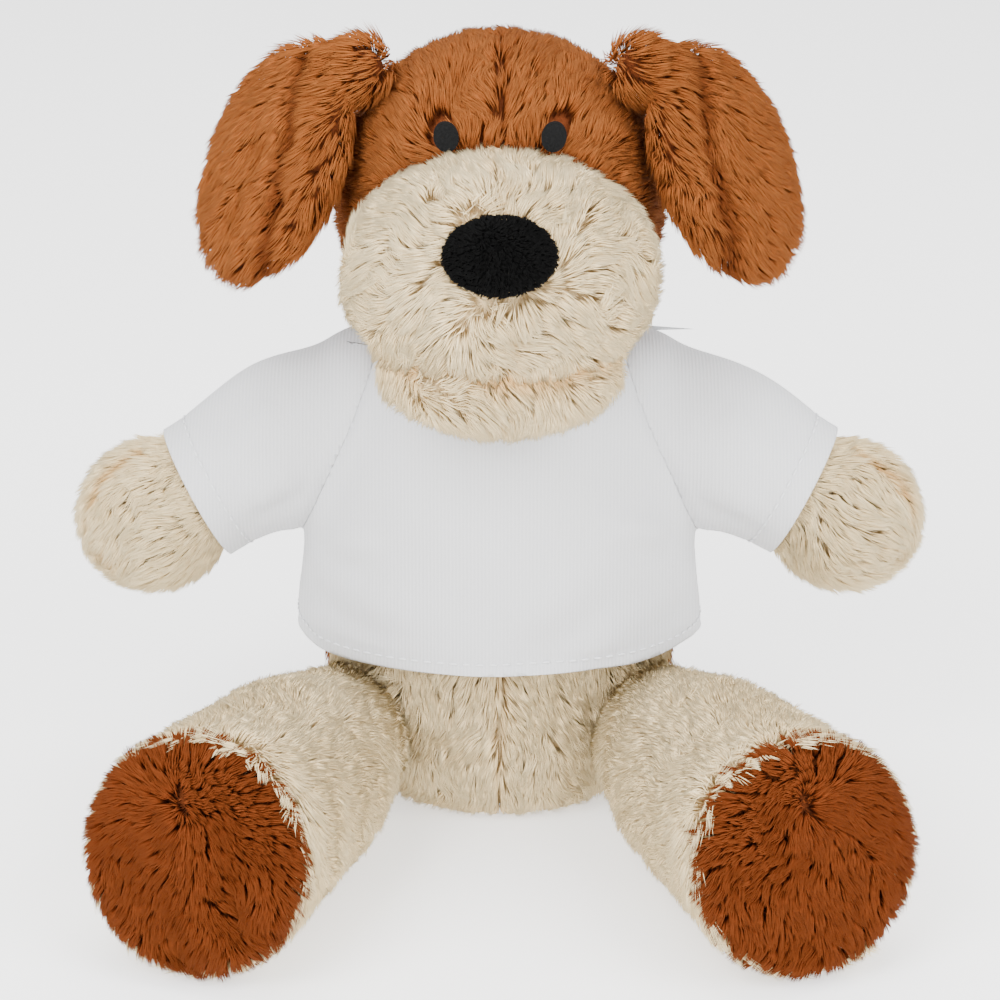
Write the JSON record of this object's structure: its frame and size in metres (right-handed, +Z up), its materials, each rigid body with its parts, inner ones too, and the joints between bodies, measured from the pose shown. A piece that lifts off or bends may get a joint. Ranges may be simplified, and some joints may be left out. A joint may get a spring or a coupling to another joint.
{
  "type": "plush dog",
  "caption": "Sitting plush puppy in a plain short-sleeved T-shirt, with floppy ears, a broad cream muzzle and splayed feet with brown soles",
  "frame": {"origin": "middle of the flat seat panel, on the surface that the puppy sits on", "axes": "+Z up, the puppy faces -Y, its own left side is +X; X is across the plane of symmetry"},
  "size_m": [0.2132, 0.1945, 0.199],
  "materials": {
    "brown_plush": "long pile plush",
    "cream_plush": "long pile plush",
    "black_plush": "short pile plush",
    "eye_felt": "felt",
    "jersey": "jersey knit",
    "thread": "sewing thread",
    "fibre_fill": "polyester fibre",
    "pellets": "bag of plastic pellets"
  },
  "bodies": {
    "torso": {"seat_panel": "cream_plush", "belly_panel": "cream_plush", "back_panel": "brown_plush", "torso_stuffing": "fibre_fill", "pellet_bag": "pellets", "shirt_front": "jersey", "shirt_back": "jersey", "neck_band": "jersey", "hem_thread": "thread"},
    "neck": {"neck_stuffing": "fibre_fill"},
    "head": {"crown_left": "brown_plush", "crown_right": "brown_plush", "muzzle_left": "cream_plush", "muzzle_right": "cream_plush", "chin_panel": "cream_plush", "head_stuffing": "fibre_fill", "nose": "black_plush", "eye_left": "eye_felt", "eye_right": "eye_felt", "mouth_thread": "thread"},
    "ear_left": {"ear_left_front": "brown_plush", "ear_left_back": "brown_plush"},
    "ear_right": {"ear_right_front": "brown_plush", "ear_right_back": "brown_plush"},
    "arm_left": {"arm_left_cover": "cream_plush", "arm_left_stuffing": "fibre_fill", "sleeve_left": "jersey", "cuff_thread_left": "thread"},
    "arm_right": {"arm_right_cover": "cream_plush", "arm_right_stuffing": "fibre_fill", "sleeve_right": "jersey", "cuff_thread_right": "thread"},
    "hip_left": {"hip_left_stuffing": "fibre_fill"},
    "leg_left": {"leg_left_cover": "cream_plush", "leg_left_stuffing": "fibre_fill", "sole_left": "brown_plush"},
    "hip_right": {"hip_right_stuffing": "fibre_fill"},
    "leg_right": {"leg_right_cover": "cream_plush", "leg_right_stuffing": "fibre_fill", "sole_right": "brown_plush"},
    "tail": {"tail_cover": "brown_plush", "tail_stuffing": "fibre_fill"}
  },
  "joints": [
    {"name": "neck_turn", "type": "hinge", "parent": "torso", "child": "neck", "pos_m": [0, 0, 0.116], "axis": [0, 0, 1], "range_deg": [-25, 25], "stiffness_Nm_per_rad": 0.25},
    {"name": "head_nod", "type": "hinge", "parent": "neck", "child": "head", "pos_m": [0, 0, 0.116], "axis": [1, 0, 0], "range_deg": [-12, 5], "stiffness_Nm_per_rad": 0.35},
    {"name": "ear_flap_left", "type": "hinge", "parent": "head", "child": "ear_left", "pos_m": [0.033, -0.004, 0.189], "axis": [0, -1, 0], "range_deg": [0, 60], "stiffness_Nm_per_rad": 0.03},
    {"name": "ear_flap_right", "type": "hinge", "parent": "head", "child": "ear_right", "pos_m": [-0.033, -0.004, 0.189], "axis": [0, 1, 0], "range_deg": [0, 60], "stiffness_Nm_per_rad": 0.03},
    {"name": "arm_raise_left", "type": "hinge", "parent": "torso", "child": "arm_left", "pos_m": [0.047, 0, 0.095], "axis": [-0.1392, -0.9903, 0], "range_deg": [-5, 60], "stiffness_Nm_per_rad": 0.05},
    {"name": "arm_raise_right", "type": "hinge", "parent": "torso", "child": "arm_right", "pos_m": [-0.047, 0, 0.095], "axis": [-0.1392, 0.9903, 0], "range_deg": [-5, 60], "stiffness_Nm_per_rad": 0.05},
    {"name": "leg_splay_left", "type": "hinge", "parent": "torso", "child": "hip_left", "pos_m": [0.04, -0.027, 0.023], "axis": [0, 0, 1], "range_deg": [-10, 20], "stiffness_Nm_per_rad": 0.15},
    {"name": "leg_lift_left", "type": "hinge", "parent": "hip_left", "child": "leg_left", "pos_m": [0.04, -0.027, 0.023], "axis": [-0.9336, -0.3584, 0], "range_deg": [-30, 6], "stiffness_Nm_per_rad": 0.15},
    {"name": "leg_splay_right", "type": "hinge", "parent": "torso", "child": "hip_right", "pos_m": [-0.04, -0.027, 0.023], "axis": [0, 0, -1], "range_deg": [-10, 20], "stiffness_Nm_per_rad": 0.15},
    {"name": "leg_lift_right", "type": "hinge", "parent": "hip_right", "child": "leg_right", "pos_m": [-0.04, -0.027, 0.023], "axis": [-0.9336, 0.3584, 0], "range_deg": [-30, 6], "stiffness_Nm_per_rad": 0.15},
    {"name": "tail_wag", "type": "hinge", "parent": "torso", "child": "tail", "pos_m": [0, 0.0385, 0.019], "axis": [0, 0, 1], "range_deg": [-25, 25], "stiffness_Nm_per_rad": 0.02}
  ]
}
